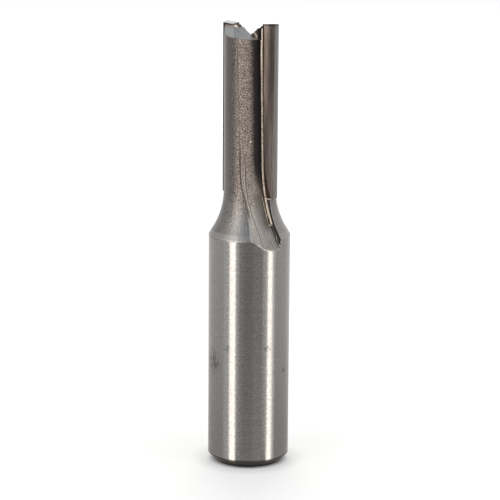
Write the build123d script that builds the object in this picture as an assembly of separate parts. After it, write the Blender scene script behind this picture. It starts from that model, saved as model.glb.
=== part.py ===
# Straight router bit: a turned steel body with two carbide cutting tips brazed into it.
# The origin is the centre of the shank's end face, and +Z runs up the axis to the cutting end.
# The right tip cuts at +X and its rake face looks along -Y.
# The left tip is the right one after half a turn about Z.
# Both tips cut when the bit turns clockwise, seen from its cutting end.
import math
import os

from build123d import *

# Lengths along the axis, in millimetres
OVERALL_LENGTH = 69.1
SHANK_LENGTH = 36.35
RIGHT_TIP_LENGTH = 26.8
LEFT_TIP_LENGTH = 26.3

# Steel body
SHANK_DIAMETER = 12.7
SHANK_CHAMFER = 1.2
SHOULDER_BREAK_RADIAL = 0.4
SHOULDER_BREAK_AXIAL = 0.7
NECK_RADIUS = 11.1
BODY_DIAMETER = 8.1

# Flutes: a disc cutter's path, straight from the cutting end and then lifting out
FLUTE_CORNER = 2.08
CORE_TAPER = 1.3

# The pass along the flute's wall
WALL_PASS_SLOPE = 0.19
WALL_PASS_RADIUS = 24.5
WALL_PASS_LENGTH = 21.7

# The pass that slopes more towards the heel and lifts out faster
HEEL_PASS_SLOPE = 0.35
HEEL_PASS_RADIUS = 16.5
HEEL_PASS_LENGTH = 22.6

# End of the body: set back from the tips, sloped behind them and gashed down to the axis
BODY_SETBACK = 0.85
BACK_SLOPE_START = 2.2
BACK_ANGLE = 35.0
GASH_DEPTH = 1.88
GASH_RADIUS = 6.5
GASH_OFFSET = 3.1

# Carbide tips
CUTTING_DIAMETER = 9.525
TIP_THICKNESS = 1.62
LAND_WIDTH = 0.9
LAND_RELIEF = 14.0
FACET_RELIEF = 25.0
END_DISH = 4.5
END_RELIEF = 5.0

# Braze
INNER_JOINT = 0.25
BACK_JOINT = 0.1
BRAZE_SETBACK = 0.5
BEAD_LEG = 0.15
BEAD_TAIL = 4.0

# Room that the cutting solids have beyond the metal that they remove
CLEAR = 2.0

SHANK_RADIUS = SHANK_DIAMETER / 2
BODY_RADIUS = BODY_DIAMETER / 2
CUTTING_RADIUS = CUTTING_DIAMETER / 2
TIP_INNER_EDGE = FLUTE_CORNER + INNER_JOINT
SEAT_DEPTH = TIP_THICKNESS + BACK_JOINT
BODY_END = OVERALL_LENGTH - BODY_SETBACK
TOP = OVERALL_LENGTH + CLEAR
REACH = SHANK_DIAMETER


def turned_blank():
    """The body as it leaves the lathe, a shank, a concave neck and a slimmer cylinder."""
    neck_foot_radius = SHANK_RADIUS - SHOULDER_BREAK_RADIAL
    neck_foot_z = SHANK_LENGTH + SHOULDER_BREAK_AXIAL
    sweep = math.acos(1 - (neck_foot_radius - BODY_RADIUS) / NECK_RADIUS)
    neck_top_z = neck_foot_z + NECK_RADIUS * math.sin(sweep)
    centre_radius = BODY_RADIUS + NECK_RADIUS
    middle = (
        centre_radius - NECK_RADIUS * math.cos(sweep / 2),
        neck_top_z - NECK_RADIUS * math.sin(sweep / 2),
    )
    foot = (neck_foot_radius, neck_foot_z)
    top = (BODY_RADIUS, neck_top_z)
    shank = Polyline(
        (0, 0),
        (SHANK_RADIUS - SHANK_CHAMFER, 0),
        (SHANK_RADIUS, SHANK_CHAMFER),
        (SHANK_RADIUS, SHANK_LENGTH),
        foot,
    )
    neck = ThreePointArc(foot, middle, top)
    cylinder = Polyline(top, (BODY_RADIUS, BODY_END), (0, BODY_END), (0, 0))
    return revolve(Plane.XZ * make_face(shank + neck + cylinder), Axis.Z)


def disc_pass(section, straight_length, radius, angle):
    """Sweep a section of (x, y) points straight down the body, then out along a disc's round.

    The whole path leans, so that the core gets thicker away from the cutting end.
    """
    run_out_start = OVERALL_LENGTH - straight_length
    face = Plane.XY.offset(run_out_start) * make_face(Polyline(*section, close=True))
    cutter_axis = Axis((FLUTE_CORNER + radius, 0, run_out_start), (0, -1, 0))
    path = extrude(face, TOP - run_out_start) + revolve(face, cutter_axis, angle)
    return path.rotate(Axis((FLUTE_CORNER, 0, OVERALL_LENGTH), (0, 1, 0)), -CORE_TAPER)


def flute_pass(slope, straight_length, radius):
    """A pass down the right flute, with its wall in the plane of the rake face."""
    outside = SHANK_RADIUS + CLEAR
    section = [
        (FLUTE_CORNER, 0),
        (FLUTE_CORNER - slope * REACH, -REACH),
        (outside, -REACH),
        (outside, 0),
    ]
    angle = math.degrees(math.acos(1 - (outside - FLUTE_CORNER) / radius))
    return disc_pass(section, straight_length, radius, angle)


def flute():
    """The right flute, which two passes cut."""
    wall_pass = flute_pass(WALL_PASS_SLOPE, WALL_PASS_LENGTH, WALL_PASS_RADIUS)
    heel_pass = flute_pass(HEEL_PASS_SLOPE, HEEL_PASS_LENGTH, HEEL_PASS_RADIUS)
    return wall_pass + heel_pass


def seat(tip_length):
    """The pocket that a tip and its braze fill."""
    bottom = OVERALL_LENGTH - tip_length - BACK_JOINT
    return Pos(FLUTE_CORNER, 0, bottom) * Box(REACH, SEAT_DEPTH, TOP - bottom, align=Align.MIN)


def above(origin, slope_x, slope_y):
    """Everything above a plane that rises by the two slopes along X and Y."""
    plane = Plane(origin=origin, z_dir=(-slope_x, -slope_y, 1))
    return extrude(plane * Rectangle(4 * REACH, 4 * REACH), 2 * REACH)


def back_half():
    """All the space behind the plane of the rake face, where the right tip is backed."""
    return Pos(0, 0, OVERALL_LENGTH) * Box(
        2 * REACH, REACH, 2 * REACH, align=(Align.CENTER, Align.MIN, Align.CENTER)
    )


def end_grinding():
    """What is ground off the end of the right half of the body."""
    slope = above((0, BACK_SLOPE_START, BODY_END), 0, -math.tan(math.radians(BACK_ANGLE)))
    wheel_z = OVERALL_LENGTH - GASH_DEPTH + math.sqrt(GASH_RADIUS**2 - GASH_OFFSET**2)
    wheel = Pos(-GASH_OFFSET, 0, wheel_z) * Rot(90, 0, 0) * Cylinder(GASH_RADIUS, 4 * REACH)
    return (slope + wheel) & back_half()


def tip_blank(tip_length):
    """A tip before its end is ground: a flat rake face and two relief facets behind its edge."""
    land_end_x = CUTTING_RADIUS - LAND_WIDTH * math.tan(math.radians(LAND_RELIEF))
    facet_depth = TIP_THICKNESS - LAND_WIDTH
    facet_end_x = land_end_x - facet_depth * math.tan(math.radians(FACET_RELIEF))
    outline = Polyline(
        (TIP_INNER_EDGE, 0),
        (CUTTING_RADIUS, 0),
        (land_end_x, LAND_WIDTH),
        (facet_end_x, TIP_THICKNESS),
        (TIP_INNER_EDGE, TIP_THICKNESS),
        close=True,
    )
    bottom = OVERALL_LENGTH - tip_length
    return extrude(Plane.XY.offset(bottom) * make_face(outline), TOP - bottom)


def carbide_tip(tip_length):
    """A tip with its end ground down towards the axis and towards its back."""
    dish = math.tan(math.radians(END_DISH))
    relief = -math.tan(math.radians(END_RELIEF))
    return tip_blank(tip_length) - above((CUTTING_RADIUS, 0, OVERALL_LENGTH), dish, relief)


def braze_fillet():
    """The sloping collar of braze round a tip where it stands out of the end of the body."""
    height = BODY_SETBACK - BRAZE_SETBACK
    foot = Pos(FLUTE_CORNER - height, SEAT_DEPTH + height) * Rectangle(
        2 * REACH, 2 * REACH, align=(Align.MIN, Align.MAX)
    )
    collar = extrude(Plane.XY.offset(BODY_END) * foot, height, taper=45)
    round_bar = Pos(0, 0, BODY_END) * Cylinder(BODY_RADIUS, 2 * height)
    return collar & round_bar & back_half()


def braze_joint(blank, tip_length, ground_end):
    """The braze that fills the seat round a tip, and its bead down the flute's corner to a tail."""
    filling = (blank & seat(tip_length)) + braze_fillet() - tip_blank(tip_length)
    bead_section = [
        (FLUTE_CORNER, 0),
        (FLUTE_CORNER - HEEL_PASS_SLOPE * BEAD_LEG, -BEAD_LEG),
        (FLUTE_CORNER + BEAD_LEG, 0),
    ]
    bead_run_out = tip_length + BEAD_TAIL - WALL_PASS_LENGTH
    angle = math.degrees(math.asin(bead_run_out / WALL_PASS_RADIUS))
    bead = disc_pass(bead_section, WALL_PASS_LENGTH, WALL_PASS_RADIUS, angle) & flute()
    return filling + bead - ground_end


def half_turn(shape):
    return shape.rotate(Axis.Z, 180)


def build():
    blank = turned_blank()
    ground_end = end_grinding()
    both_ends = ground_end + half_turn(ground_end)
    steel_body = blank - flute() - half_turn(flute())
    steel_body -= seat(RIGHT_TIP_LENGTH)
    steel_body -= half_turn(seat(LEFT_TIP_LENGTH))
    steel_body -= both_ends
    return {
        "steel_body": steel_body,
        "right_carbide_tip": carbide_tip(RIGHT_TIP_LENGTH),
        "left_carbide_tip": half_turn(carbide_tip(LEFT_TIP_LENGTH)),
        "right_braze_joint": braze_joint(blank, RIGHT_TIP_LENGTH, both_ends),
        "left_braze_joint": half_turn(braze_joint(blank, LEFT_TIP_LENGTH, both_ends)),
    }


os.makedirs("parts", exist_ok=True)
for name, shape in build().items():
    export_step(shape, f"parts/{name}.step")
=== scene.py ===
# Looks of a straight router bit, standing on its shank end on a pale floor.
# Lengths in the geometry code are metres, and lengths in the materials are millimetres.
# A fade is a pair of values: its mask is 0 at the first one and 1 at the second, whichever is higher.
# A band is a middle, a half width and the width of its soft edge.
# A tint is a colour and how strongly it covers what lies under it.
import functools
import math
import random

import bpy
from mathutils import Matrix, Vector


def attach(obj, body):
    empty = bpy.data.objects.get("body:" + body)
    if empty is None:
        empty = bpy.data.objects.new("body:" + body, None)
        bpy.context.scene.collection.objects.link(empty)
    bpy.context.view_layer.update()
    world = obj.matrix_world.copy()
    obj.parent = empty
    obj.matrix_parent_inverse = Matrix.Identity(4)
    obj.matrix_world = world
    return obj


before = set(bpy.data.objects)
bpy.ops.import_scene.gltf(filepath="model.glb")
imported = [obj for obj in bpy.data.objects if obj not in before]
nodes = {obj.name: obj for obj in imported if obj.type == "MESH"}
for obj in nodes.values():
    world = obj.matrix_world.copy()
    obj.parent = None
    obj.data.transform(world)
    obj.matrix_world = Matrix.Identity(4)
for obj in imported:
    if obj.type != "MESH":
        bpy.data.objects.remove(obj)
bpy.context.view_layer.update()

MM = 0.001

# Sizes of the part that the looks follow, in millimetres
OVERALL_LENGTH = 69.1
SHANK_LENGTH = 36.35
SHANK_RADIUS = 6.35
NECK_RADIUS = 11.1
NECK_TOP = 43.26
NECK_FOOT = 37.05
SHOULDER_BREAK = 0.4
BODY_RADIUS = 4.05
FLUTE_CORNER = 2.08
CORE_TAPER = math.radians(1.3)
WALL_PASS_SLOPE = 0.19
WALL_PASS_RADIUS = 24.5
WALL_PASS_START = 47.4

# Camera, fitted to the photograph's edges
CAMERA_AZIMUTH = math.radians(41)
CAMERA_DISTANCE = 0.287
CAMERA_SIDE = 0.0001
CAMERA_HEIGHT = 0.0947
CAMERA_TILT = math.radians(78)
CAMERA_ROLL = math.radians(0.41)
CAMERA_LENS = 135.65
SENSOR_WIDTH = 36
CLIP_START = 0.01
CLIP_END = 20

LAMP_COLOUR = (1.0, 0.955, 0.90)
WHITE = (1.0, 1.0, 1.0)

# Settings of nodes: a spot's full core as a share of its reach, and how the metals' gloss is drawn out
NEAR_CORE = 0.3
BEVEL_SAMPLES = 4
QUARTER_TURN = 0.25


def clear_defaults():
    for name in ("Cube", "Light", "Camera"):
        if name in bpy.data.objects:
            bpy.data.objects.remove(bpy.data.objects[name])


def link(obj):
    bpy.context.scene.collection.objects.link(obj)
    return obj


def around(azimuth, distance, height):
    """A point round the object. Azimuth 0 is the camera's side, and positive is to its right."""
    a = CAMERA_AZIMUTH + azimuth
    return Vector((distance * math.sin(a), -distance * math.cos(a), height))


def make_camera():
    data = bpy.data.cameras.new("camera")
    data.lens = CAMERA_LENS
    data.sensor_width = SENSOR_WIDTH
    data.clip_start = CLIP_START
    data.clip_end = CLIP_END
    camera = link(bpy.data.objects.new("camera", data))
    side = Vector((math.cos(CAMERA_AZIMUTH), math.sin(CAMERA_AZIMUTH), 0)) * CAMERA_SIDE
    camera.matrix_world = (
        Matrix.Translation(around(0, CAMERA_DISTANCE, CAMERA_HEIGHT) + side)
        @ Matrix.Rotation(CAMERA_AZIMUTH, 4, "Z")
        @ Matrix.Rotation(CAMERA_TILT, 4, "X")
        @ Matrix.Rotation(CAMERA_ROLL, 4, "Z")
    )
    bpy.context.scene.camera = camera


class Graph:
    """A node tree with short calls for the nodes that the materials use."""

    def __init__(self, tree):
        self.tree = tree
        tree.nodes.clear()

    def node(self, kind, **settings):
        made = self.tree.nodes.new("ShaderNode" + kind)
        for key, value in settings.items():
            setattr(made, key, value)
        return made

    def plug(self, socket, value):
        if isinstance(value, bpy.types.NodeSocket):
            self.tree.links.new(value, socket)
        else:
            socket.default_value = value

    def math(self, operation, a, b=0.0, clamp=False):
        made = self.node("Math", operation=operation, use_clamp=clamp)
        self.plug(made.inputs[0], a)
        self.plug(made.inputs[1], b)
        return made.outputs[0]

    def add(self, a, b):
        return self.math("ADD", a, b)

    def sub(self, a, b):
        return self.math("SUBTRACT", a, b)

    def mul(self, a, b):
        return self.math("MULTIPLY", a, b)

    def product(self, *values):
        return functools.reduce(self.mul, values)

    def top(self, a, b):
        return self.math("MAXIMUM", a, b)

    def absolute(self, value):
        return self.math("ABSOLUTE", value)

    def hypot(self, a, b):
        return self.math("SQRT", self.add(self.mul(a, a), self.mul(b, b)))

    def swing(self, noise, amount):
        """Noise of 0 to 1 made to swing round 0, by an amount from end to end."""
        return self.mul(self.sub(noise, 0.5), amount)

    def step(self, value, first, second):
        """A smooth fade: 0 at the first value and 1 at the second."""
        made = self.node("MapRange", interpolation_type="SMOOTHSTEP")
        self.plug(made.inputs["Value"], value)
        if first < second:
            ends = (first, second, 0.0, 1.0)
        else:
            ends = (second, first, 1.0, 0.0)
        for name, end in zip(("From Min", "From Max", "To Min", "To Max"), ends):
            made.inputs[name].default_value = end
        return made.outputs[0]

    def band(self, value, middle, half_width, soft):
        """1 within half_width of the middle, fading out over soft."""
        off = self.absolute(self.sub(value, middle))
        return self.step(off, half_width + soft, half_width)

    def between(self, value, rise, fall):
        """1 between a fade that rises and one that falls."""
        return self.mul(self.step(value, *rise), self.step(value, *fall))

    def mix(self, factor, a, b):
        """A mix of two colours."""
        made = self.node("Mix", data_type="RGBA")
        self.plug(made.inputs["Factor"], factor)
        for name, value in (("A", a), ("B", b)):
            socket = [s for s in made.inputs if s.name == name and s.type == "RGBA"][0]
            self.plug(socket, (*value, 1) if isinstance(value, tuple) else value)
        return [s for s in made.outputs if s.type == "RGBA"][0]

    def cover(self, base, tint, *masks):
        """A colour with a tint over it where all the masks are 1."""
        colour, strength = tint
        return self.mix(self.product(strength, *masks), base, colour)

    def cover_all(self, base, layers):
        """A colour with layers over it; each layer is a tint and its masks."""
        for layer in layers:
            base = self.cover(base, *layer)
        return base

    def blend(self, factor, a, b):
        """A mix of two numbers."""
        made = self.node("Mix", data_type="FLOAT")
        self.plug(made.inputs["Factor"], factor)
        self.plug(made.inputs["A"], a)
        self.plug(made.inputs["B"], b)
        return made.outputs["Result"]

    def split(self, vector):
        parts = self.node("SeparateXYZ")
        self.plug(parts.inputs[0], vector)
        return tuple(parts.outputs)

    def place(self):
        """The position in millimetres, as a vector and as x, y and z."""
        coordinates = self.node("TexCoord").outputs["Object"]
        scaled = self.node("VectorMath", operation="SCALE")
        self.plug(scaled.inputs[0], coordinates)
        scaled.inputs["Scale"].default_value = 1 / MM
        return scaled.outputs[0], *self.split(scaled.outputs[0])

    def true_normal(self):
        return self.node("NewGeometry").outputs["True Normal"]

    def dot(self, a, b):
        made = self.node("VectorMath", operation="DOT_PRODUCT")
        self.plug(made.inputs[0], a)
        self.plug(made.inputs[1], b)
        return made.outputs["Value"]

    def noise(self, vector, scale, detail=2.0, roughness=0.5):
        made = self.node("TexNoise")
        self.plug(made.inputs["Vector"], vector)
        made.inputs["Scale"].default_value = scale
        made.inputs["Detail"].default_value = detail
        made.inputs["Roughness"].default_value = roughness
        return made.outputs["Fac"]

    def drawn_noise(self, vector, scales, detail=3):
        """Noise that is drawn out into lines: it has a scale along each of x, y and z."""
        made = self.node("VectorMath", operation="MULTIPLY")
        self.plug(made.inputs[0], vector)
        made.inputs[1].default_value = scales
        return self.noise(made.outputs[0], 1.0, detail)

    def noise_along(self, value, scale):
        """Noise that changes only with one number."""
        made = self.node("TexNoise", noise_dimensions="1D")
        self.plug(made.inputs["W"], value)
        made.inputs["Scale"].default_value = scale
        return made.outputs["Fac"]

    def near(self, vector, centre, reach):
        """1 at a point in millimetres, fading to 0 at its reach."""
        made = self.node("VectorMath", operation="DISTANCE")
        self.plug(made.inputs[0], vector)
        made.inputs[1].default_value = centre
        return self.step(made.outputs["Value"], reach, reach * NEAR_CORE)

    def bump(self, height, depth, normal=None):
        """Bump from a height of 0 to 1 that stands for depth, in millimetres."""
        made = self.node("Bump")
        made.inputs["Strength"].default_value = 1.0
        made.inputs["Distance"].default_value = depth * MM
        self.plug(made.inputs["Height"], height)
        if normal is not None:
            self.plug(made.inputs["Normal"], normal)
        return made.outputs[0]

    def bevel(self, radius):
        made = self.node("Bevel", samples=BEVEL_SAMPLES)
        made.inputs["Radius"].default_value = radius * MM
        return made.outputs[0]

    def background_rays(self):
        """1 for the rays that see the background: the camera's, and those in metal and glass."""
        path = self.node("LightPath")
        mirrored = self.top(path.outputs["Is Glossy Ray"], path.outputs["Is Transmission Ray"])
        return self.top(path.outputs["Is Camera Ray"], mirrored)

    def emission(self, colour, strength):
        made = self.node("Emission")
        made.inputs["Color"].default_value = (*colour, 1)
        self.plug(made.inputs["Strength"], strength)
        return made.outputs[0]

    def finish(self, shader, kind="Material"):
        output = self.node("Output" + kind)
        self.plug(output.inputs["Surface"], shader)


def new_material(name):
    material = bpy.data.materials.new(name)
    material.use_nodes = True
    return material, Graph(material.node_tree)


def finish_metal(graph, colour, roughness, normal, anisotropy=None):
    shader = graph.node("BsdfPrincipled")
    shader.inputs["Metallic"].default_value = 1.0
    graph.plug(shader.inputs["Base Color"], colour)
    graph.plug(shader.inputs["Roughness"], roughness)
    graph.plug(shader.inputs["Normal"], normal)
    if anisotropy is not None:
        graph.plug(shader.inputs["Anisotropic"], anisotropy)
        shader.inputs["Anisotropic Rotation"].default_value = QUARTER_TURN
        tangent = graph.node("Tangent", direction_type="RADIAL", axis="Z")
        graph.plug(shader.inputs["Tangent"], tangent.outputs[0])
    graph.finish(shader.outputs[0])


# Zones of the steel: heights, distances u and w in the flutes, and depths below the turned surface
HALVES_SLANT = 0.002
EDGE_REACH = 0.12
EDGE_TURNS = (0.985, 0.90)
SHANK_TOP = (SHANK_LENGTH - 0.15, SHANK_LENGTH - 0.35)
SHANK_SIDE = (SHANK_RADIUS - 0.15, SHANK_RADIUS - 0.05)
FOOT_HEIGHTS = (2.0, 1.5)
TURNED_DEPTHS = (0.12, 0.05)
FACING = (0.2, 0.3)
UPPER_END = (60, 61)
WALL_FRONT = (0.03, 0.01)
LOWER_FLUTE = (50, 46)
HOT_HEIGHTS = (38.0, 45.0)
HEEL_SIDE = (-1.5, 0.9)
NECK_SPREAD = 3.2
NECK_SPREAD_HEIGHTS = (44.0, 38.0)

# Textures of the steel
PATCH_SCALE = 0.5
GRAIN_SCALE = 6.0
RING_SCALES = (0.15, 0.15, 7.0)
WANDER = 4.0
SMALL_WANDER = 0.3
GRAIN_FADE = (0.40, 0.60)
CALM_HEIGHTS = (44.0, 40.0)
CALM_SHARE = 0.25
CALM_LEVEL = 0.62

# Painted shade on the flute's floor along the foot of its wall, beside the tip
WALL_SHADE_WIDTH = 0.85
WALL_SHADE_GROWTH = 0.85
WALL_SHADE_GROWTH_HEIGHTS = (40.5, 49.0)
WALL_SHADE_HEIGHTS = (38.6, 44.0)
WALL_SHADE_BORDER = (0.55, -0.5)
WALL_SHADE_PATCHINESS = 0.3
WALL_SHADE_GRAININESS = 0.7
WALL_SHADE_CORNER = (0.1, 0.5)
WALL_SHADE_CORNER_STRENGTH = 0.85


class SteelFields:
    """What the steel's finishes share: the place, textures, and masks of 0 to 1.

    In both flutes, u runs out along the rake face and w runs to its front.
    """

    def __init__(self, g):
        self.g = g
        self.place, self.x, self.y, self.z = g.place()

        # The plane that parts the two flutes is turned a little, so that neither wall lies on it
        side = g.math("SIGN", g.sub(self.y, g.mul(self.x, HALVES_SLANT)))
        self.u = g.product(self.x, side, -1.0)
        self.w = g.absolute(self.y)
        self.radius = g.hypot(self.x, self.y)
        self.inside = g.sub(self.turned_radius(), self.radius)
        self.set_textures()
        self.set_zones()
        self.painted_wall_shade = self.painted_wall_shade_mask()
        calm = g.product(self.in_flute, g.step(self.z, *CALM_HEIGHTS), CALM_SHARE)
        self.speckle = g.blend(calm, g.step(self.grain, *GRAIN_FADE), CALM_LEVEL)

    def turned_radius(self):
        """The radius of the turned surface at this height, above the shank."""
        g = self.g
        drop = g.math("MINIMUM", g.top(g.sub(NECK_TOP, self.z), 0.0), NECK_TOP - NECK_FOOT)
        fall = g.math("SQRT", g.sub(NECK_RADIUS**2, g.mul(drop, drop)))
        neck = g.sub(BODY_RADIUS + NECK_RADIUS, fall)
        below_neck = g.sub(NECK_FOOT, self.z)
        shoulder = g.math("MULTIPLY", below_neck, 1 / (NECK_FOOT - SHANK_LENGTH), clamp=True)
        return g.add(neck, g.mul(shoulder, SHOULDER_BREAK))

    def set_textures(self):
        g = self.g
        self.patches = g.noise(self.place, PATCH_SCALE, detail=3)
        self.grain = g.noise(self.place, GRAIN_SCALE, detail=1)
        self.ring_lines = g.drawn_noise(self.place, RING_SCALES)
        self.wander = g.swing(self.patches, WANDER)
        self.small_wander = g.mul(self.wander, SMALL_WANDER)

    def set_zones(self):
        g = self.g
        normal = g.true_normal()
        normal_y, normal_z = g.split(normal)[1:]

        # An edge is sharp where the rounded normal turns away from the true one
        self.turn = g.dot(g.bevel(EDGE_REACH), normal)
        self.edge = g.step(self.turn, *EDGE_TURNS)
        on_shank = g.mul(g.step(self.z, *SHANK_TOP), g.step(self.radius, *SHANK_SIDE))
        self.plain = g.top(on_shank, g.step(self.z, *FOOT_HEIGHTS))
        self.on_turned = g.top(g.step(self.inside, *TURNED_DEPTHS), self.plain)
        self.in_flute = g.sub(1.0, self.on_turned)
        self.on_wall = g.mul(self.in_flute, g.step(self.w, *WALL_FRONT))
        self.low = g.step(self.z, *LOWER_FLUTE)
        self.upper_end = g.step(self.z, *UPPER_END)
        self.on_end = g.mul(g.step(normal_z, *FACING), self.upper_end)
        self.on_slope = g.step(g.absolute(normal_y), *FACING)
        self.hot = g.step(g.add(self.z, self.wander), *HOT_HEIGHTS)
        spread = g.add(self.small_wander, g.mul(g.step(self.z, *NECK_SPREAD_HEIGHTS), NECK_SPREAD))
        self.near_heel = g.mul(g.step(g.add(self.u, spread), *HEEL_SIDE), g.sub(1.0, self.plain))

    # Painted shade: a dark band on the flute's floor along the foot of its wall
    def painted_wall_shade_mask(self):
        g = self.g
        growth = g.mul(g.step(self.z, *WALL_SHADE_GROWTH_HEIGHTS), WALL_SHADE_GROWTH)
        border = g.add(growth, g.add(g.swing(self.patches, WALL_SHADE_PATCHINESS), WALL_SHADE_WIDTH))
        off = g.add(g.sub(self.w, border), g.swing(self.grain, WALL_SHADE_GRAININESS))
        thinned = g.blend(g.step(self.w, *WALL_SHADE_CORNER), WALL_SHADE_CORNER_STRENGTH, 1.0)
        reached = g.mul(g.step(off, *WALL_SHADE_BORDER), g.step(self.z, *WALL_SHADE_HEIGHTS))
        return g.product(self.in_flute, reached, thinned)


# The shank: its greys, and its scuffs and nicks as places with a reach and their strengths
SHANK_DARK = (0.205, 0.197, 0.187)
SHANK_LIGHT = (0.30, 0.289, 0.276)
SHANK_TONE = (0.32, 0.68)
GRAIN_SHARE = 0.75
SCUFF_DARK = (0.05, 0.048, 0.046)
LONG_SCUFF = ((-2.05, -6.01, 16.6), 2.5)
SMALL_SCUFF = ((6.24, 1.19, 15.3), 0.6)
SCUFF_STRENGTH = 0.72
SMALL_SCUFF_SHARE = 0.6
STROKE_SCALES = (5.0, 5.0, 1.0)
STROKE_FADE = (0.44, 0.54)
NICKS = (((1.06, -6.26, 19.2), 0.95), ((5.89, -2.37, 19.2), 0.95))
NICK_STRENGTH = 0.7
NICK_SCALE = 5.0
NICK_FADE = (0.50, 0.60)
# Painted shade on the chamfer at the foot, which faces the shadowed floor
CHAMFER_SHADE = (0.078, 0.068, 0.061)
CHAMFER_SHADE_HEIGHTS = (1.45, 1.3)


def shank_colour(s):
    """Grey with fine rings, scuffs and nicks, and painted shade on the chamfer at the foot."""
    g = s.g
    tone = g.step(g.blend(GRAIN_SHARE, s.ring_lines, s.grain), *SHANK_TONE)
    colour = g.mix(tone, SHANK_DARK, SHANK_LIGHT)
    strokes = g.step(g.drawn_noise(s.place, STROKE_SCALES, detail=2), *STROKE_FADE)
    scuffs = g.mul(g.near(s.place, *LONG_SCUFF), strokes)
    scuffs = g.top(scuffs, g.mul(g.near(s.place, *SMALL_SCUFF), SMALL_SCUFF_SHARE))
    nicks = functools.reduce(g.top, [g.near(s.place, *nick) for nick in NICKS])
    nicks = g.mul(nicks, g.step(g.noise(s.place, NICK_SCALE, detail=1), *NICK_FADE))
    worn = g.top(g.mul(scuffs, SCUFF_STRENGTH), g.mul(nicks, NICK_STRENGTH))
    colour = g.mix(worn, colour, SCUFF_DARK)
    return g.mix(g.step(s.z, *CHAMFER_SHADE_HEIGHTS), colour, CHAMFER_SHADE)


# The fluted body's two finishes: smooth away from the heel, and grainy near it
SMOOTH_COOL = (0.25, 0.241, 0.232)
SMOOTH_HOT_HIGH = (0.110, 0.095, 0.088)
SMOOTH_HOT_LOW = (0.135, 0.121, 0.113)
SMOOTH_HOT_HEIGHTS = (56.0, 46.0)
SMOOTH_GLINT = ((0.32, 0.31, 0.30), 0.12)
GRAIN_DARK_COOL = (0.165, 0.155, 0.146)
GRAIN_DARK_HOT = (0.060, 0.050, 0.045)
GRAIN_LIGHT_COOL = (0.31, 0.292, 0.275)
GRAIN_LIGHT_HOT = (0.192, 0.162, 0.145)
CORNER_SHADE = ((0.035, 0.031, 0.028), 0.36)
CORNER_SIDE = (3.5, 1.5)
TOOL_LINE = ((0.36, 0.345, 0.33), 0.25)
TOOL_LINE_SCALE = 4.5
TOOL_LINE_FADE = (0.40, 0.62)
TOOL_LINE_HEIGHTS = (52.0, 40.0)


def smooth_colour(s):
    g = s.g
    smooth_hot = g.mix(g.step(s.z, *SMOOTH_HOT_HEIGHTS), SMOOTH_HOT_HIGH, SMOOTH_HOT_LOW)
    return g.cover(g.mix(s.hot, SMOOTH_COOL, smooth_hot), SMOOTH_GLINT, s.speckle)


def grainy_colour(s):
    g = s.g
    dark = g.mix(s.hot, GRAIN_DARK_COOL, GRAIN_DARK_HOT)
    light = g.mix(s.hot, GRAIN_LIGHT_COOL, GRAIN_LIGHT_HOT)
    colour = g.mix(s.speckle, dark, light)
    colour = g.cover(colour, CORNER_SHADE, g.step(s.w, *CORNER_SIDE))
    tool_lines = g.step(g.noise_along(s.w, TOOL_LINE_SCALE), *TOOL_LINE_FADE)
    fading = g.step(s.z, *TOOL_LINE_HEIGHTS)
    return g.cover(colour, TOOL_LINE, s.in_flute, tool_lines, fading)


# The dark line along the heel, which breaks up into dots higher up
HEEL_LINE = ((0.028, 0.025, 0.023), 0.8)
HEEL_LINE_RISE = (0.02, 0.05)
HEEL_LINE_FALL = (0.25, 0.17)
HEEL_LINE_SIDE = (1.5, 2.5)
HEEL_LINE_HEIGHTS = (38.4, 40.2)
HEEL_DOT_HEIGHTS = (48.0, 54.0)
HEEL_DOT_GRAIN = (0.42, 0.56)
HEEL_DOT_DEPTHS = (0.17, 0.10)
HEEL_DOT_STRENGTH = 0.75


def heel_line(s):
    g = s.g
    dots = g.mul(g.step(s.grain, *HEEL_DOT_GRAIN), g.step(s.inside, *HEEL_DOT_DEPTHS))
    dots = g.mul(dots, HEEL_DOT_STRENGTH)
    broken = g.blend(g.step(s.z, *HEEL_DOT_HEIGHTS), 1.0, dots)
    line = g.mul(g.between(s.inside, HEEL_LINE_RISE, HEEL_LINE_FALL), g.step(s.w, *HEEL_LINE_SIDE))
    return g.product(line, g.step(s.z, *HEEL_LINE_HEIGHTS), broken)


# The blued steel of the neck, and its shaded side
BLUED = ((0.265, 0.275, 0.292), 0.8)
BLUED_SIDE = (0.2, 3.4)
BLUED_HEIGHTS = (40.8, 37.6)
SHADE = ((0.03, 0.028, 0.026), 0.40)
SHADE_FRONT = (0.5, -1.0)
SHADE_SIDE = (0.8, -2.0)
SHADE_HEIGHTS = (44.0, 41.0)


def blued_mask(s):
    g = s.g
    outward = g.step(g.add(s.u, s.small_wander), *BLUED_SIDE)
    downward = g.step(g.add(s.z, s.small_wander), *BLUED_HEIGHTS)
    return g.product(s.on_turned, outward, downward)


def shaded_mask(s):
    g = s.g
    side = g.mul(g.step(s.y, *SHADE_FRONT), g.step(s.u, *SHADE_SIDE))
    return g.product(s.on_turned, side, g.step(s.z, *SHADE_HEIGHTS))


# Painted shade in the corner of the flute's run-out, beside the spilt braze
BEAD_GAP_SHADE = ((0.032, 0.029, 0.027), 0.72)
NARROW_GAP_SHADE_WIDTH = (0.36, 0.26)
NARROW_GAP_SHADE_HEIGHTS = (38.7, 38.2)
WIDE_GAP_SHADE_WIDTH = (0.62, 0.48)
WIDE_GAP_SHADE_BAND = (40.9, 2.2, 0.6)


def bead_gap_shade_mask(s):
    g = s.g
    narrow = g.mul(g.step(s.w, *NARROW_GAP_SHADE_WIDTH), g.step(s.z, *NARROW_GAP_SHADE_HEIGHTS))
    wide = g.mul(g.step(s.w, *WIDE_GAP_SHADE_WIDTH), g.band(s.z, *WIDE_GAP_SHADE_BAND))
    return g.mul(s.in_flute, g.top(narrow, wide))
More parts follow.
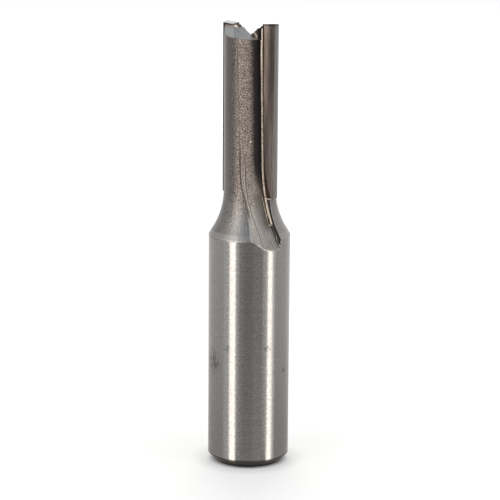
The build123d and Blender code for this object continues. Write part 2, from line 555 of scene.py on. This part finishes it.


# The flute's wall, with a painted highlight on its edge low down, painted shade at its upper end beside
# the tip, and a painted highlight on a small facet there
WALL_LOW = (0.07, 0.066, 0.062)
WALL_HIGH = (0.118, 0.10, 0.089)
WALL_EDGE_HIGHLIGHT = ((0.40, 0.385, 0.37), 1.0)
WALL_EDGE_HIGHLIGHT_HEIGHTS = (43.0, 41.0)
WALL_TOP_SHADE = ((0.03, 0.027, 0.026), 1.0)
WALL_TOP_SHADE_SIDE = (1.33, 1.47)
FACET_HIGHLIGHT = ((0.72, 0.60, 0.49), 1.0)
FACET_HIGHLIGHT_HEIGHT = 67.42
FACET_HIGHLIGHT_MIDDLE = 0.75
FACET_HIGHLIGHT_SLOPE = 0.95
FACET_HIGHLIGHT_BAND = (0.0, 0.2, 0.12)
FACET_HIGHLIGHT_SIDE = (1.42, 1.25)


def wall_colour(s):
    g = s.g
    colour = g.mix(s.upper_end, WALL_LOW, WALL_HIGH)
    # A painted highlight on the wall's edge low down
    colour = g.cover(colour, WALL_EDGE_HIGHLIGHT, s.edge, g.step(s.z, *WALL_EDGE_HIGHLIGHT_HEIGHTS))
    # Painted shade at the wall's upper end beside the tip
    colour = g.cover(colour, WALL_TOP_SHADE, s.upper_end, g.step(s.u, *WALL_TOP_SHADE_SIDE))
    # A painted highlight on a small facet at the wall's upper end
    slanted = g.add(g.sub(s.z, FACET_HIGHLIGHT_HEIGHT), g.mul(g.sub(s.u, FACET_HIGHLIGHT_MIDDLE), FACET_HIGHLIGHT_SLOPE))
    facet_highlight = g.mul(g.band(slanted, *FACET_HIGHLIGHT_BAND), g.step(s.u, *FACET_HIGHLIGHT_SIDE))
    return g.cover(colour, FACET_HIGHLIGHT, facet_highlight, s.upper_end)


# Layers on the neck and the fluted body
# A painted highlight on the shoulder's break above the shank
SHOULDER_HIGHLIGHT = ((0.40, 0.385, 0.37), 0.35)
SHOULDER_HIGHLIGHT_BAND = (36.65, 0.35, 0.2)
# Painted shade on the flute's floor low down, darkest towards its corner
LOW_CORNER_SHADE = ((0.03, 0.027, 0.025), 0.85)
LOW_CORNER_SHADE_BAND = (40.4, 1.7, 2.0)
LOW_CORNER_SHADE_SIDE = (3.2, 0.4)
# Painted highlights on the edges: speckled high up, and brighter low down
HIGH_EDGE_HIGHLIGHT = ((0.34, 0.295, 0.265), 0.4)
HIGH_EDGE_HIGHLIGHT_GRAIN = (0.60, 0.45)
HIGH_EDGE_HIGHLIGHT_HEIGHTS = (47.0, 53.0)
LOW_EDGE_HIGHLIGHT = ((0.56, 0.53, 0.49), 0.85)
LOW_EDGE_HIGHLIGHT_HEIGHTS = (43.0, 41.5)
# Painted shade in the groove along the flute's floor, and a painted highlight on its bank
GROOVE_SHADE = ((0.035, 0.032, 0.029), 0.6)
GROOVE_SHADE_BAND = (2.95, 0.03, 0.07)
GROOVE_BANK_HIGHLIGHT = ((0.45, 0.43, 0.41), 0.35)
GROOVE_BANK_HIGHLIGHT_BAND = (3.12, 0.05, 0.08)
# Colours of the painted shade along the foot of the flute's wall, low down and high up
WALL_SHADE_LOW = (0.05, 0.039, 0.033)
WALL_SHADE_HIGH = (0.0095, 0.0083, 0.0088)
WALL_SHADE_COLOUR_HEIGHTS = (41.5, 47.0)
# A painted highlight on the wall's outer edge, low on the body
RIM_HIGHLIGHT = ((1.0, 0.97, 0.94), 0.95)
RIM_HIGHLIGHT_WIDTH = (0.28, 0.12)
RIM_HIGHLIGHT_DEPTHS = (0.35, 0.2)
RIM_HIGHLIGHT_HEIGHTS = (43.2, 42.2)


def body_colour(s):
    """The neck and the fluted body: a ground of two finishes, then one layer after another."""
    g = s.g
    low_corner_shade = g.mul(g.band(s.z, *LOW_CORNER_SHADE_BAND), g.step(s.w, *LOW_CORNER_SHADE_SIDE))
    high_edge_highlight = g.mul(g.step(s.grain, *HIGH_EDGE_HIGHLIGHT_GRAIN), g.step(s.z, *HIGH_EDGE_HIGHLIGHT_HEIGHTS))
    low_flute = g.mul(s.in_flute, s.low)
    layers = (
        (SHADE, shaded_mask(s)),
        (BLUED, blued_mask(s)),
        (SHOULDER_HIGHLIGHT, s.on_turned, g.band(s.z, *SHOULDER_HIGHLIGHT_BAND)),
        (LOW_CORNER_SHADE, s.in_flute, low_corner_shade),
        (HIGH_EDGE_HIGHLIGHT, s.edge, high_edge_highlight),
        (GROOVE_SHADE, low_flute, g.band(s.w, *GROOVE_SHADE_BAND)),
        (GROOVE_BANK_HIGHLIGHT, low_flute, g.band(s.w, *GROOVE_BANK_HIGHLIGHT_BAND)),
        (HEEL_LINE, heel_line(s)),
        (LOW_EDGE_HIGHLIGHT, s.edge, g.step(s.z, *LOW_EDGE_HIGHLIGHT_HEIGHTS)),
    )
    colour = g.cover_all(g.mix(s.near_heel, smooth_colour(s), grainy_colour(s)), layers)
    # Painted shade along the foot of the flute's wall
    wall_shade_colour = g.mix(g.step(s.z, *WALL_SHADE_COLOUR_HEIGHTS), WALL_SHADE_LOW, WALL_SHADE_HIGH)
    colour = g.mix(s.painted_wall_shade, colour, wall_shade_colour)
    # Painted shade in the corner of the run-out
    colour = g.cover(colour, BEAD_GAP_SHADE, bead_gap_shade_mask(s))
    colour = g.mix(s.on_wall, colour, wall_colour(s))
    # A painted highlight on the wall's outer edge, low on the body
    rim_highlight = g.mul(g.step(s.inside, *RIM_HIGHLIGHT_DEPTHS), g.step(s.z, *RIM_HIGHLIGHT_HEIGHTS))
    return g.cover(colour, RIM_HIGHLIGHT, s.edge, g.step(s.w, *RIM_HIGHLIGHT_WIDTH), rim_highlight)


# The ground end: curved lines in the gash, a plain slope and darker edges
GASH_GREY = (0.245, 0.253, 0.265)
GASH_LINE = ((0.06, 0.063, 0.07), 0.8)
GASH_CENTRE_U = -0.9
GASH_CENTRE_W = -1.3
GASH_START = (2.4, 3.0)
GASH_LINES_PER_MM = 2.1
GASH_LINE_NOISE = 1.5
GASH_LINE_WANDER = 0.5
GASH_LINE_BAND = (0.5, 0.04, 0.14)
SLOPE_DARK = (0.27, 0.272, 0.275)
SLOPE_LIGHT = (0.34, 0.342, 0.345)
END_EDGE = ((0.05, 0.05, 0.052), 0.8)
SOFT_EDGE_RISE = (0.88, 0.95)
SOFT_EDGE_FALL = (0.9995, 0.994)


def end_colour(s):
    g = s.g
    sweep = g.hypot(g.sub(s.u, GASH_CENTRE_U), g.sub(s.w, GASH_CENTRE_W))
    uneven = g.add(sweep, g.mul(g.noise_along(sweep, GASH_LINE_NOISE), GASH_LINE_WANDER))
    wave = g.math("FRACT", g.mul(uneven, GASH_LINES_PER_MM))
    lines = g.mul(g.band(wave, *GASH_LINE_BAND), g.step(sweep, *GASH_START))
    gash = g.cover(GASH_GREY, GASH_LINE, lines)
    colour = g.mix(s.on_slope, gash, g.mix(s.speckle, SLOPE_DARK, SLOPE_LIGHT))
    soft_edge = g.between(s.turn, SOFT_EDGE_RISE, SOFT_EDGE_FALL)
    return g.cover(colour, END_EDGE, g.top(s.edge, soft_edge))


# A painted highlight along the burr where the flute's run-out cuts the shank
BURR_HIGHLIGHT = ((0.80, 0.75, 0.68), 0.85)
BURR_HIGHLIGHT_BAND = (35.0, 1.6, 0.4)

# Roughness of the steel's finishes
SMOOTH_ROUGHNESS = 0.40
GRAINY_ROUGHNESS = 0.36
FLUTE_ROUGHNESS = 0.34
SHANK_ROUGHNESS = 0.25
END_ROUGHNESS = 0.35

# Relief: the depth that a height of 1 stands for, and the share of each kind of mark
RELIEF_DEPTH = 0.14
ROUNDING = 0.1
GRAIN_HEIGHT = 0.4
GRAIN_CALM_HEIGHTS = (43.0, 39.0)
GRAIN_CALM_SHARE = 0.75
BODY_RING_HEIGHT = 0.05
SHANK_RING_HEIGHT = 0.02
GROOVE_HEIGHT = 0.45
GROOVE_UP_BAND = (2.95, 0.03, 0.06)
GROOVE_DOWN_BAND = (3.1, 0.03, 0.06)
STREAK_SCALES = (3.0, 3.0, 0.15)
STREAK_HEIGHT = 0.15
BODY_ANISOTROPY = 0.9
SHANK_ANISOTROPY = 1.0


def steel_colour(s):
    g = s.g
    colour = g.mix(s.plain, body_colour(s), shank_colour(s))
    # A painted highlight along the run-out's burr
    colour = g.cover(colour, BURR_HIGHLIGHT, s.edge, g.band(s.z, *BURR_HIGHLIGHT_BAND))
    return g.mix(s.on_end, colour, end_colour(s))


def steel_roughness(s):
    g = s.g
    roughness = g.blend(s.near_heel, SMOOTH_ROUGHNESS, GRAINY_ROUGHNESS)
    roughness = g.blend(s.in_flute, roughness, FLUTE_ROUGHNESS)
    roughness = g.blend(s.plain, roughness, SHANK_ROUGHNESS)
    return g.blend(s.on_end, roughness, END_ROUGHNESS)


def steel_normal(s):
    """Rings on what was turned, grain on the upper body and tool marks along the flutes."""
    g = s.g
    groove = g.sub(g.band(s.w, *GROOVE_UP_BAND), g.band(s.w, *GROOVE_DOWN_BAND))
    streaks = g.swing(g.drawn_noise(s.place, STREAK_SCALES), STREAK_HEIGHT)
    marks = g.mul(s.in_flute, g.add(g.product(groove, s.low, GROOVE_HEIGHT), streaks))
    worn_smooth = g.blend(g.step(s.z, *GRAIN_CALM_HEIGHTS), 1.0, GRAIN_CALM_SHARE)
    # No grain under the painted shade along the foot of the flute's wall
    grained = g.product(s.near_heel, g.sub(1.0, s.on_end), g.sub(1.0, s.painted_wall_shade))
    grained = g.mul(grained, g.blend(s.in_flute, 1.0, worn_smooth))
    grain = g.mul(g.swing(s.grain, GRAIN_HEIGHT), grained)
    ring_height = g.blend(s.plain, BODY_RING_HEIGHT, SHANK_RING_HEIGHT)
    rings = g.product(g.swing(s.ring_lines, 1.0), s.on_turned, ring_height)
    return g.bump(g.add(grain, g.add(rings, marks)), RELIEF_DEPTH, g.bevel(ROUNDING))


def steel_material():
    material, g = new_material("steel")
    s = SteelFields(g)
    anisotropy = g.mul(s.on_turned, g.blend(s.plain, BODY_ANISOTROPY, SHANK_ANISOTROPY))
    finish_metal(g, steel_colour(s), steel_roughness(s), steel_normal(s), anisotropy)
    return material


# The rake face's dark band, whose border follows the flute's run-out and then a shallow slope
RAKE_BAND_EDGE = 2.45
RAKE_BAND_LEAST = 2.63
RAKE_BAND_RADIUS = 25.0
RAKE_BAND_START = 50.0
RAKE_BAND_SLOPE = 0.02
RAKE_BAND_TOP = 68.0
RAKE_BAND_FADE = (0.12, -0.02)

# Faces of the tips
TIP_END_FACING = (0.5, 0.7)
RAKE_FRONT = (0.02, 0.01)
TIP_BACK = (1.60, 1.61)
TIP_TOP_HEIGHTS = (68.65, 68.8)

# Colours of the tips
RAKE_INNER_LOW = (0.165, 0.138, 0.135)
RAKE_INNER_HIGH = (0.45, 0.365, 0.31)
RAKE_OUTER_LOW = (0.222, 0.183, 0.168)
RAKE_OUTER_HIGH = (0.09, 0.071, 0.067)
RAKE_LINE = ((0.05, 0.04, 0.034), 0.4)
RAKE_LINE_FADE = (0.42, 0.60)
RAKE_HEIGHTS = (54.0, 66.0)
RAKE_SIDE = (2.9, 4.0)
CLOUD_RISE = 8.0
CLOUD_REACH = 0.8
FLANK_DARK = (0.125, 0.12, 0.117)
FLANK_LIGHT = (0.155, 0.15, 0.146)
TIP_TOP = ((0.03, 0.024, 0.02), 0.75)
RAKE_BAND_DARK = (0.045, 0.033, 0.027)
TIP_END_GREY = (0.54, 0.54, 0.548)
GRIND_SCALES = (4.0, 4.0, 0.25)
CLOUD_SCALES = (0.9, 0.9, 0.15)

# Roughness and relief of the tips
RAKE_ROUGHNESS = 0.32
RAKE_BAND_ROUGHNESS = 0.5
TIP_END_ROUGHNESS = 0.2
GRIND_DEPTH = 0.01
TIP_ROUNDING = 0.03


def rake_band_border(g, z):
    """The dark band's outer border, as a distance from the axis."""
    fall = g.top(g.sub(RAKE_BAND_START, z), 0.0)
    rest = g.top(g.sub(RAKE_BAND_RADIUS**2, g.mul(fall, fall)), 0.0)
    run_out = g.sub(RAKE_BAND_RADIUS, g.math("SQRT", rest))
    slope = g.mul(g.sub(RAKE_BAND_TOP, z), RAKE_BAND_SLOPE)
    return g.top(RAKE_BAND_LEAST, g.add(g.add(RAKE_BAND_EDGE, run_out), slope))


def rake_colour(g, place, u, z, lines):
    """Cloudy tints that change along and across the rake face, with fine grinding lines."""
    clouds = g.drawn_noise(place, CLOUD_SCALES)
    high = g.step(g.add(z, g.mul(clouds, CLOUD_RISE)), *RAKE_HEIGHTS)
    outward = g.step(g.add(u, g.swing(clouds, CLOUD_REACH)), *RAKE_SIDE)
    inner = g.mix(high, RAKE_INNER_LOW, RAKE_INNER_HIGH)
    outer = g.mix(high, RAKE_OUTER_LOW, RAKE_OUTER_HIGH)
    return g.cover(g.mix(outward, inner, outer), RAKE_LINE, g.step(lines, *RAKE_LINE_FADE))


def carbide_material():
    material, g = new_material("carbide")
    place, x, y, z = g.place()
    u, w = g.absolute(x), g.absolute(y)
    on_end = g.step(g.split(g.true_normal())[2], *TIP_END_FACING)
    on_rake = g.step(w, *RAKE_FRONT)
    on_back = g.step(w, *TIP_BACK)
    dark_band = g.mul(on_rake, g.step(g.sub(u, rake_band_border(g, z)), *RAKE_BAND_FADE))
    lines = g.drawn_noise(place, GRIND_SCALES)
    flank = g.mix(lines, FLANK_DARK, FLANK_LIGHT)
    colour = g.mix(on_rake, flank, rake_colour(g, place, u, z, lines))
    colour = g.cover(colour, TIP_TOP, g.step(z, *TIP_TOP_HEIGHTS))
    colour = g.mix(g.top(dark_band, on_back), colour, RAKE_BAND_DARK)
    colour = g.mix(on_end, colour, TIP_END_GREY)
    roughness = g.blend(dark_band, RAKE_ROUGHNESS, RAKE_BAND_ROUGHNESS)
    roughness = g.blend(on_end, roughness, TIP_END_ROUGHNESS)
    finish_metal(g, colour, roughness, g.bump(lines, GRIND_DEPTH, g.bevel(TIP_ROUNDING)))
    return material


# The braze along the tips: mottled low down, cleaner and lighter high up, with painted shade on its
# inner side there
MOTTLE_SCALE = 5.5
MOTTLE_DETAIL = 3
MOTTLE_ROUGHNESS = 0.6
MOTTLE_FADE = (0.36, 0.60)
BRAZE_DARK = (0.30, 0.225, 0.17)
BRAZE_LIGHT = (0.80, 0.67, 0.56)
# Painted shade on the braze's inner side, high up
CLEAN_INNER_SHADE = (0.10, 0.075, 0.057)
CLEAN_OUTER = (0.93, 0.79, 0.65)
CLEAN_SIDE = (2.09, 2.18)
CLEAN_HEIGHTS = (61.0, 64.5)

# The collar at the end, with a gold spot on each side
COLLAR_HEIGHTS = (68.2, 68.3)
COLLAR_INNER = (0.05, 0.04, 0.035)
COLLAR_OUTER = (0.27, 0.225, 0.195)
COLLAR_SIDE = (0.75, 0.95)
COLLAR_GOLD = (0.80, 0.66, 0.54)
COLLAR_GOLD_SPOT = ((1.9, 1.28, 68.4), 0.5)

# A painted highlight on the ledge under the tips; the bead's tail, the spilt braze and the drops on the
# flute's floor
LEDGE_HIGHLIGHT = ((0.95, 0.88, 0.79), 0.85)
LEDGE_HIGHLIGHT_BAND = (42.5, 0.45, 0.05)
LEDGE_HIGHLIGHT_SIDE = (3.6, 3.8)
TAIL = ((1.0, 0.86, 0.69), 0.6)
TAIL_BAND = (40.2, 1.6, 0.8)
TAIL_WIDTH = (0.26, 0.18)
SPILT = ((0.085, 0.068, 0.055), 1.0)
SPILT_RISE = (0.26, 0.36)
SPILT_FALL = (0.85, 0.75)
SPILT_HEIGHTS = (43.5, 43.0)
CRUMB_SCALE = 7.0
CRUMB_FADE = (0.42, 0.58)
CRUMB_STRENGTHS = (0.75, 0.15)
DROP = ((0.98, 0.84, 0.64), 0.8)
DROP_FRONT = (2.1, 2.14)

# Roughness and relief of the braze
BRAZE_ROUGHNESS = 0.38
LUMP_SCALE = 4.0
LUMP_DEPTH = 0.05


def joint_colour(g, place, u, z):
    """The braze behind and beside a tip, below the collar."""
    mottle = g.noise(place, MOTTLE_SCALE, MOTTLE_DETAIL, MOTTLE_ROUGHNESS)
    colour = g.mix(g.step(mottle, *MOTTLE_FADE), BRAZE_DARK, BRAZE_LIGHT)
    clean = g.mix(g.step(u, *CLEAN_SIDE), CLEAN_INNER_SHADE, CLEAN_OUTER)
    return g.mix(g.step(z, *CLEAN_HEIGHTS), colour, clean)


def collar_colour(g, place, w):
    folded = g.node("VectorMath", operation="ABSOLUTE")
    g.plug(folded.inputs[0], place)
    gold = g.near(folded.outputs[0], *COLLAR_GOLD_SPOT)
    dull = g.mix(g.step(w, *COLLAR_SIDE), COLLAR_INNER, COLLAR_OUTER)
    return g.mix(gold, dull, COLLAR_GOLD)


def braze_material():
    material, g = new_material("braze")
    place, x, y, z = g.place()
    u, w = g.absolute(x), g.absolute(y)
    colour = g.mix(g.step(z, *COLLAR_HEIGHTS), joint_colour(g, place, u, z), collar_colour(g, place, w))
    spilt = g.mul(g.between(w, SPILT_RISE, SPILT_FALL), g.step(z, *SPILT_HEIGHTS))
    crumbs = g.blend(g.step(g.noise(place, CRUMB_SCALE, detail=1), *CRUMB_FADE), *CRUMB_STRENGTHS)
    layers = (
        (LEDGE_HIGHLIGHT, g.band(z, *LEDGE_HIGHLIGHT_BAND), g.step(u, *LEDGE_HIGHLIGHT_SIDE)),
        (TAIL, g.step(w, *TAIL_WIDTH), g.band(z, *TAIL_BAND)),
        (SPILT, spilt, crumbs),
        (DROP, g.step(w, *DROP_FRONT)),
    )
    colour = g.cover_all(colour, layers)
    lumps = g.noise(place, LUMP_SCALE, detail=2)
    finish_metal(g, colour, BRAZE_ROUGHNESS, g.bump(lumps, LUMP_DEPTH))
    return material


# The floor: its grey takes the shadow, and a glow that grows away from the bit keeps it pale; the
# weaker glow near the bit paints a soft shadow round its foot.
# Each step of the glow is a fade over the distance from the axis, and what it adds.
FLOOR_GREY = (0.4, 0.4, 0.4)
FLOOR_GLOW = (0.985, 0.995, 1.0)
FLOOR_GLOW_AND_SHADOW_STEPS = (((4.9, 6.5), 0.41), ((6.4, 9.5), 0.12), ((6.5, 40.0), 0.08))
FLOOR_HALF_WIDTH = 3.0
FLOOR_DROP = 0.00002

# Cards on the floor: how a glow changes from the middle to the sides, and away from the bit
CARD_MIDDLE_TURN = 0.04
CARD_SIDE_FADE = (0.14, 0.33)
CARD_NEAR_FADE = (8.0, 105.0)
CARD_GAP = 0.3
CARD_LENGTH = 0.44
CARD_DEGREES_PER_STEP = 6
CARD_LEAST_STEPS = 12

# The world's light on the object, and the white that the camera sees
WORLD_LIGHT = 0.75
WORLD_BACKDROP = 1.0


def floor_material():
    material, g = new_material("floor")
    x, y = g.place()[1:3]
    radius = g.hypot(x, y)
    diffuse = g.node("BsdfDiffuse")
    diffuse.inputs["Color"].default_value = (*FLOOR_GREY, 1)
    # A weaker glow near the bit: a painted shadow round its foot
    rises = [g.mul(g.step(radius, *fade), amount) for fade, amount in FLOOR_GLOW_AND_SHADOW_STEPS]
    level = functools.reduce(g.add, rises)
    both = g.node("AddShader")
    g.plug(both.inputs[0], diffuse.outputs[0])
    g.plug(both.inputs[1], g.emission(FLOOR_GLOW, g.mul(g.background_rays(), level)))
    g.finish(both.outputs[0])
    return material


def card_material(name, colour, middle, edge, near):
    """A glow that can differ at the card's middle, towards its edges and near the object."""
    material, g = new_material(name)
    x, y = g.place()[1:3]
    angle = g.sub(g.math("ARCTAN2", x, g.mul(y, -1.0)), CAMERA_AZIMUTH)
    sideways = g.step(g.absolute(g.add(angle, CARD_MIDDLE_TURN)), *CARD_SIDE_FADE)
    away = g.step(g.hypot(x, y), *CARD_NEAR_FADE)
    strength = g.mul(g.blend(sideways, middle, edge), g.blend(away, near, 1.0))
    g.finish(g.emission(colour, strength))
    return material


def make_world():
    world = bpy.data.worlds.new("world")
    world.use_nodes = True
    bpy.context.scene.world = world
    g = Graph(world.node_tree)
    mixed = g.node("MixShader")
    g.plug(mixed.inputs[0], g.background_rays())
    for socket, strength in zip(mixed.inputs[1:], (WORLD_LIGHT, WORLD_BACKDROP)):
        light = g.node("Background")
        light.inputs["Color"].default_value = (*WHITE, 1)
        light.inputs["Strength"].default_value = strength
        g.plug(socket, light.outputs[0])
    g.finish(mixed.outputs[0], "World")


def mesh_object(name, vertices, faces, material):
    mesh = bpy.data.meshes.new(name)
    mesh.from_pydata(vertices, [], faces)
    mesh.materials.append(material)
    return link(bpy.data.objects.new(name, mesh))


def make_floor():
    half = FLOOR_HALF_WIDTH
    corners = [(-half, -half, 0), (half, -half, 0), (half, half, 0), (-half, half, 0)]
    floor = mesh_object("floor", corners, [(0, 1, 2, 3)], floor_material())
    floor.location.z = -FLOOR_DROP


def make_card(name, from_angle, to_angle, colour, middle, edge, near=1.0, height=0.0, lift=0.0005):
    """A card on the floor that only reflections see, and that can bend up at its far end.

    Its sides run as reflections off the shank do, from the shank's face at half their angle.
    """
    steps = max(CARD_LEAST_STEPS, int(abs(to_angle - from_angle) / CARD_DEGREES_PER_STEP))
    rows = 3 if height else 2
    vertices = []
    for i in range(steps + 1):
        a = math.radians(from_angle + (to_angle - from_angle) * i / steps)
        start = around(a / 2, (SHANK_RADIUS + CARD_GAP) * MM, lift)
        end = start + around(a, CARD_LENGTH, 0)
        vertices += [start, end, end + Vector((0, 0, height))][:rows]
    faces = []
    for i in range(steps):
        for row in range(rows - 1):
            k = rows * i + row
            faces.append((k, k + 1, k + rows + 1, k + rows))
    card = mesh_object(name, vertices, faces, card_material(name, colour, middle, edge, near))
    card.visible_camera = False
    card.visible_diffuse = False
    card.visible_shadow = False


def make_lamp(name, azimuth, distance, middle, size, radiance, tilt=0.0):
    """An area lamp that faces the object; middle is its height and size is its width and height."""
    data = bpy.data.lights.new(name, "AREA")
    data.shape = "RECTANGLE"
    data.size, data.size_y = size
    data.energy = radiance * math.pi * size[0] * size[1]
    data.color = LAMP_COLOUR
    lamp = link(bpy.data.objects.new(name, data))
    lamp.location = around(math.radians(azimuth), distance, middle)
    lamp.rotation_euler = (math.pi / 2 - tilt, 0, CAMERA_AZIMUTH + math.radians(azimuth))
    return lamp


def floor_point(height, front):
    """A point on the right flute's floor, in metres, from a height and a w in millimetres."""
    drop = max(WALL_PASS_START - height, 0.0)
    round_part = math.sqrt((WALL_PASS_RADIUS + WALL_PASS_SLOPE * front) ** 2 - drop**2)
    out = WALL_PASS_RADIUS - round_part
    down = OVERALL_LENGTH - height
    x = FLUTE_CORNER + out * math.cos(CORE_TAPER) + down * math.sin(CORE_TAPER)
    z = OVERALL_LENGTH - down * math.cos(CORE_TAPER) + out * math.sin(CORE_TAPER)
    return Vector((x, -front, z)) * MM


def floor_normal(height, front):
    near = 0.05
    here = floor_point(height, front)
    down = floor_point(height - near, front) - here
    forward = floor_point(height, front + near) - here
    normal = down.cross(forward).normalized()
    return normal if normal.x > 0 else -normal


def smooth_piece(name, vertices, faces, material):
    piece = mesh_object(name, vertices, faces, material)
    piece.data.polygons.foreach_set("use_smooth", [True] * len(faces))
    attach(piece, "root")
    return piece


def turned(vertices, half_turn):
    return [Vector((-v.x, -v.y, v.z)) for v in vertices] if half_turn else vertices


# Shapes of the spilt braze; a drop's rings are spreads and rises, as shares of its radius
SIDES = 8
RUN_STEPS = 6
RUN_WOBBLE = 0.02
RUN_HALF_WIDTHS = (0.35, 0.6)
RUN_END_SHARE = 0.3
RUN_FLATNESS = 0.6
DROP_RINGS = ((1.0, -0.3), (0.85, 0.3), (0.45, 0.6))
DROP_OVAL = 0.8


def ring_faces(first, rings):
    """The faces that join rings of points, from the index of the first point."""
    faces = []
    for ring in range(rings - 1):
        a = first + SIDES * ring
        b = a + SIDES
        for k in range(SIDES):
            n = (k + 1) % SIDES
            faces.append((a + k, a + n, b + n, b + k))
    return faces


def path_points(places):
    """Points along straight lines between places of (height, w, width)."""
    path = []
    for start, end in zip(places, places[1:]):
        for k in range(RUN_STEPS):
            t = k / RUN_STEPS
            path.append(tuple(a + (b - a) * t for a, b in zip(start, end)))
    return path + [places[-1]]


def make_braze_run(name, places, seed, material, half_turn):
    """A thin run of spilt braze along a flute's floor; places are (height, w, width)."""
    rng = random.Random(seed)
    path = path_points(places)
    last = len(path) - 1
    vertices = []
    for i, (height, front, width) in enumerate(path):
        before = floor_point(*path[max(i - 1, 0)][:2])
        after = floor_point(*path[min(i + 1, last)][:2])
        normal = floor_normal(height, front)
        across = (after - before).normalized().cross(normal).normalized()
        centre = floor_point(height, front) + across * rng.uniform(-RUN_WOBBLE, RUN_WOBBLE) * MM
        half = width * rng.uniform(*RUN_HALF_WIDTHS) * MM
        if i in (0, last):
            half *= RUN_END_SHARE
        for k in range(SIDES):
            a = 2 * math.pi * k / SIDES
            sideways = across * half * math.cos(a)
            vertices.append(centre + sideways + normal * half * RUN_FLATNESS * math.sin(a))
    faces = ring_faces(0, len(path))
    faces.append(tuple(range(SIDES)))
    faces.append(tuple(reversed(range(len(vertices) - SIDES, len(vertices)))))
    return smooth_piece(name, turned(vertices, half_turn), faces, material)


def make_specks(name, places, material, half_turn):
    """Drops of spatter on a flute's floor; places are (height, w, radius)."""
    vertices, faces = [], []
    for height, front, size in places:
        normal = floor_normal(height, front)
        side = normal.cross(Vector((0, 1, 0))).normalized()
        other_side = normal.cross(side)
        centre = floor_point(height, front)
        base = len(vertices)
        for spread, rise in DROP_RINGS:
            for k in range(SIDES):
                a = 2 * math.pi * k / SIDES
                flat = side * math.cos(a) + other_side * math.sin(a) * DROP_OVAL
                vertices.append(centre + (flat * spread + normal * rise) * size * MM)
        faces += ring_faces(base, len(DROP_RINGS))
        faces.append(tuple(range(len(vertices) - SIDES, len(vertices))))
        faces.append(tuple(reversed(range(base, base + SIDES))))
    return smooth_piece(name, turned(vertices, half_turn), faces, material)


def dress(node, material):
    nodes[node].data.materials.clear()
    nodes[node].data.materials.append(material)


clear_defaults()
make_camera()
make_world()
make_floor()

# Cards that only reflections see: the pale floor, the room in front, and strips on both sides
make_card("floor_reflection", -165, 165, WHITE, middle=1.0, edge=1.0, near=0.64, lift=0.0002)
make_card("front_card", -28, 39, WHITE, middle=0.45, edge=0.56, near=1.30, height=0.7)
make_card("left_strip", -57, -39, LAMP_COLOUR, middle=4.6, edge=4.6)
make_card("left_side_strip", -77, -57, WHITE, middle=1.35, edge=1.35, near=0.8)
make_card("right_strip", 54.5, 69, LAMP_COLOUR, middle=4.6, edge=4.6)
make_card("right_side_strip", 69, 78, WHITE, middle=2.2, edge=2.2, near=0.8)

make_lamp("left_softbox", -48, distance=0.45, middle=0.17, size=(0.142, 0.34), radiance=4.6)
make_lamp("right_softbox", 62, distance=0.45, middle=0.17, size=(0.115, 0.34), radiance=4.6)
back_lamp = make_lamp(
    "back_lamp", 180, distance=0.6, middle=0.6, size=(0.5, 0.3), radiance=8.4, tilt=math.radians(45)
)
back_lamp.visible_glossy = False

steel = steel_material()
carbide = carbide_material()
braze = braze_material()
dress("steel_body", steel)
for side_name in ("right", "left"):
    dress(f"{side_name}_carbide_tip", carbide)
    dress(f"{side_name}_braze_joint", braze)

# The bead that gets thicker towards its tail, as (height, w, width)
BEAD_SWELL = [
    (49.0, 0.03, 0.10),
    (45.5, 0.05, 0.17),
    (42.5, 0.06, 0.24),
    (40.0, 0.07, 0.27),
    (38.3, 0.08, 0.20),
]

# The runs of spilt braze beside it, as (height, w, width)
RIGHT_RUN = [
    (42.7, 0.64, 0.09),
    (42.1, 0.63, 0.11),
    (41.15, 0.57, 0.12),
    (40.25, 0.50, 0.13),
    (39.35, 0.53, 0.14),
    (38.65, 0.60, 0.14),
    (38.35, 0.60, 0.16),
    (38.2, 0.42, 0.22),
    (38.2, 0.15, 0.24),
]
LEFT_RUN = [
    (41.9, 0.42, 0.10),
    (40.9, 0.50, 0.12),
    (39.9, 0.44, 0.14),
    (39.2, 0.30, 0.18),
    (38.9, 0.15, 0.2),
]

# Drops of spatter, as (height, w, radius)
RIGHT_SPECKS = [(41.7, 2.45, 0.11), (51.2, 2.24, 0.15), (44.3, 1.3, 0.06), (47.9, 2.7, 0.05)]
LEFT_SPECKS = [(43.1, 1.9, 0.09), (40.3, 2.9, 0.12), (54.0, 2.4, 0.06)]

make_braze_run("right_bead_swell", BEAD_SWELL, seed=5, material=braze, half_turn=False)
make_braze_run("left_bead_swell", BEAD_SWELL, seed=6, material=braze, half_turn=True)
make_braze_run("right_braze_run", RIGHT_RUN, seed=3, material=braze, half_turn=False)
make_braze_run("left_braze_run", LEFT_RUN, seed=8, material=braze, half_turn=True)
make_specks("right_braze_specks", RIGHT_SPECKS, material=braze, half_turn=False)
make_specks("left_braze_specks", LEFT_SPECKS, material=braze, half_turn=True)

view_settings = bpy.context.scene.view_settings
view_settings.view_transform = "Standard"
